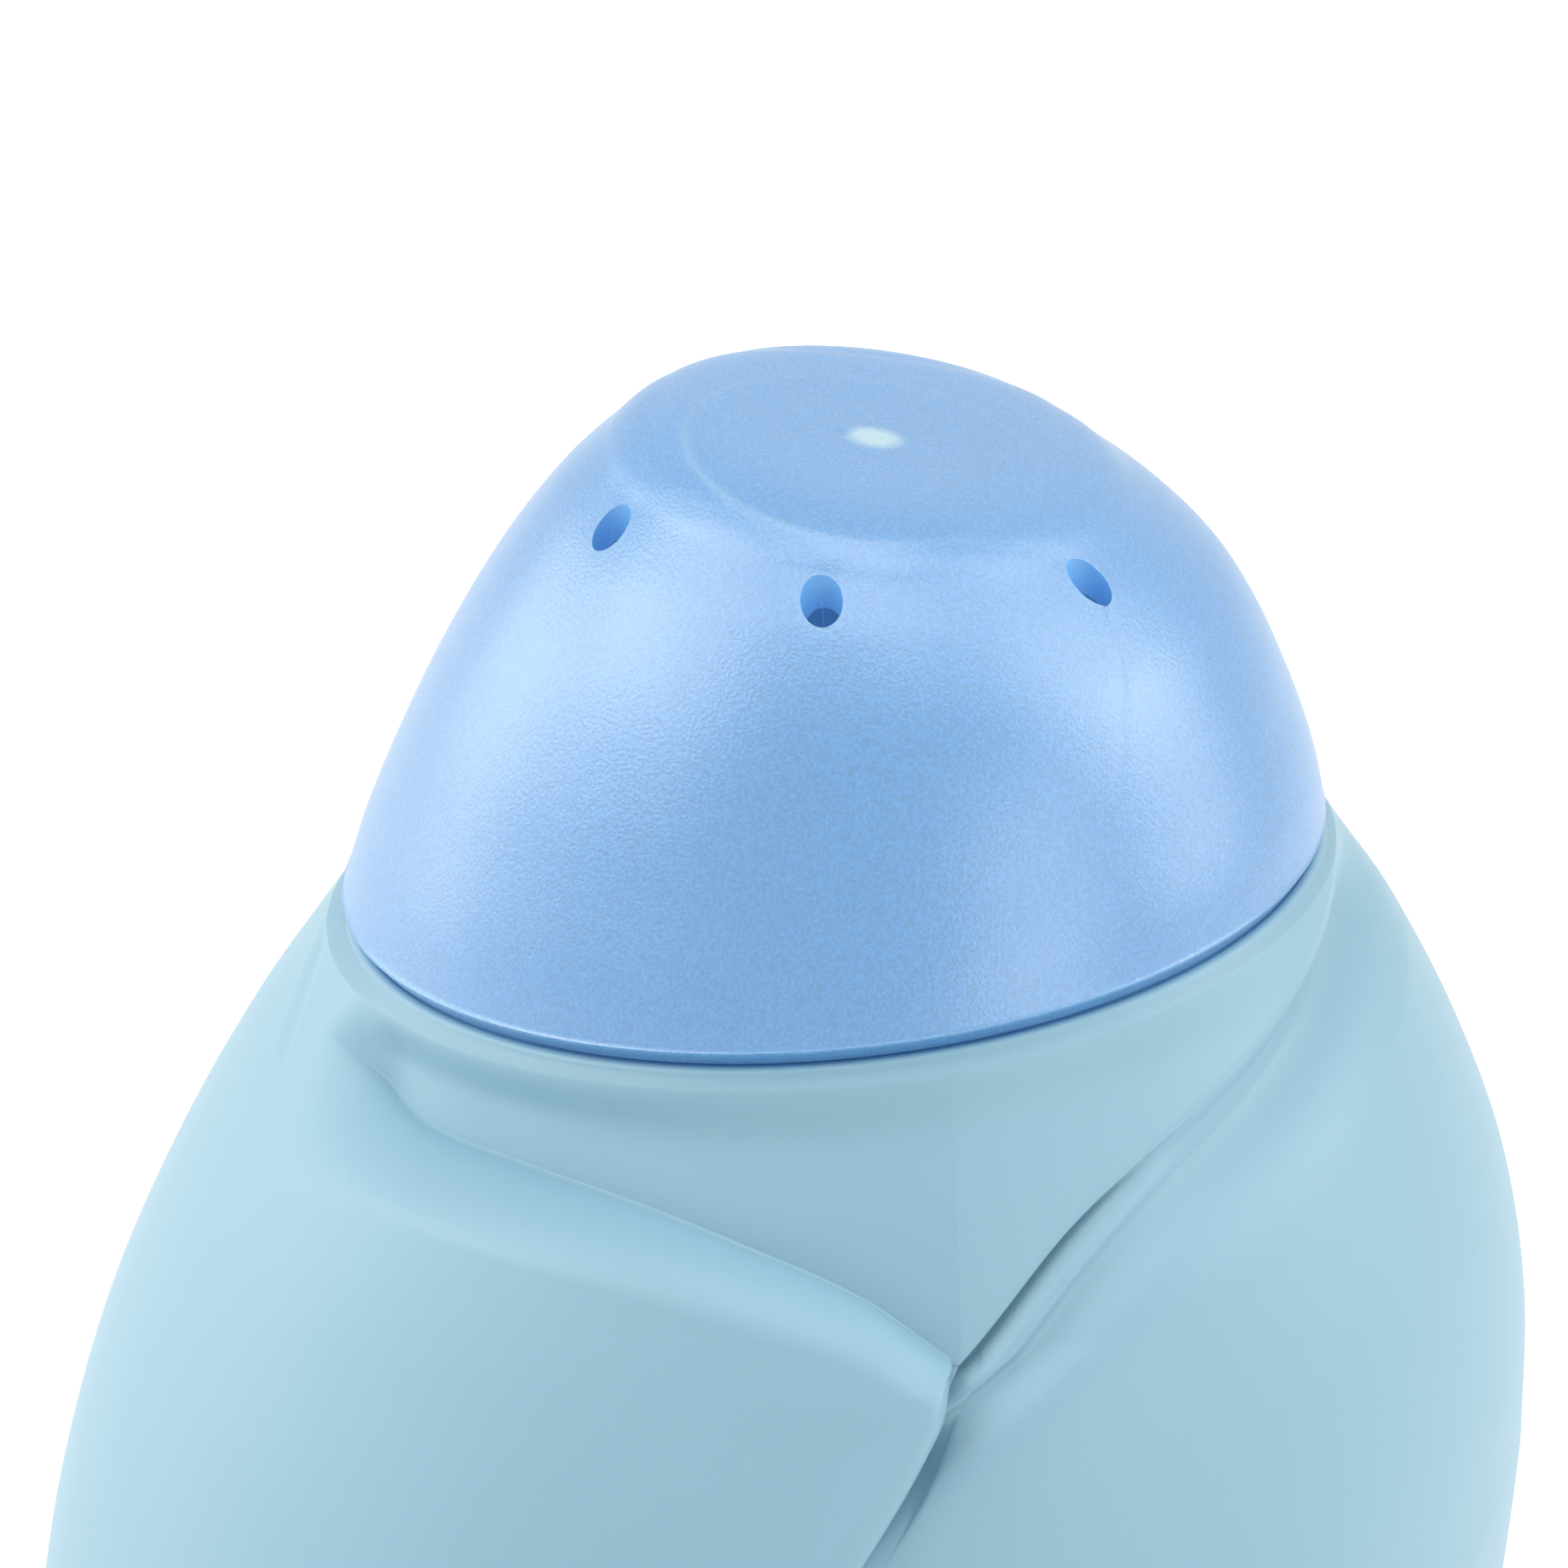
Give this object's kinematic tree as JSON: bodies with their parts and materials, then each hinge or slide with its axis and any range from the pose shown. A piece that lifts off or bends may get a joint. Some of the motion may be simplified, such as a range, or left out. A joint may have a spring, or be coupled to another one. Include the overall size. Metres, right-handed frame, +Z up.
{
  "type": "baby bottle",
  "caption": "Soft silicone baby bottle with a swaddle-like wrap in relief, a leaning neck, a screw collar, a teat and a frosted vented dome cap.",
  "frame": {"origin": "centre of the foot, on the surface that the bottle stands on", "axes": "+Z up, -Y towards the front, where the wrap's V neckline is; the neck leans towards -X"},
  "size_m": [0.0858, 0.0869, 0.1069],
  "materials": {
    "silicone": "matte",
    "insert_plastic": "satin",
    "collar_plastic": "satin",
    "teat_silicone": "satin",
    "frosted_plastic": "frosted"
  },
  "bodies": {
    "bottle": {"bottle_body": "silicone", "neck_insert": "insert_plastic"},
    "teat": {"teat": "teat_silicone"},
    "collar": {"collar": "collar_plastic"},
    "cap": {"cap": "frosted_plastic"}
  },
  "joints": [
    {"name": "teat_rise", "type": "slide", "parent": "bottle", "child": "teat", "axis": [-0.1771, 0, 0.9842], "range_m": [0, 0.006]},
    {"name": "collar_turn", "type": "hinge", "parent": "teat", "child": "collar", "pos_m": [0, 0, 0.08], "axis": [-0.1771, 0, 0.9842], "range_deg": [0, 540]},
    {"name": "cap_lift", "type": "slide", "parent": "teat", "child": "cap", "axis": [-0.1771, 0, 0.9842], "range_m": [0, 0.04]}
  ],
  "couplings": [
    {"joint": "collar_turn", "follows": "teat_rise", "rad_per_m": 1570.8}
  ]
}
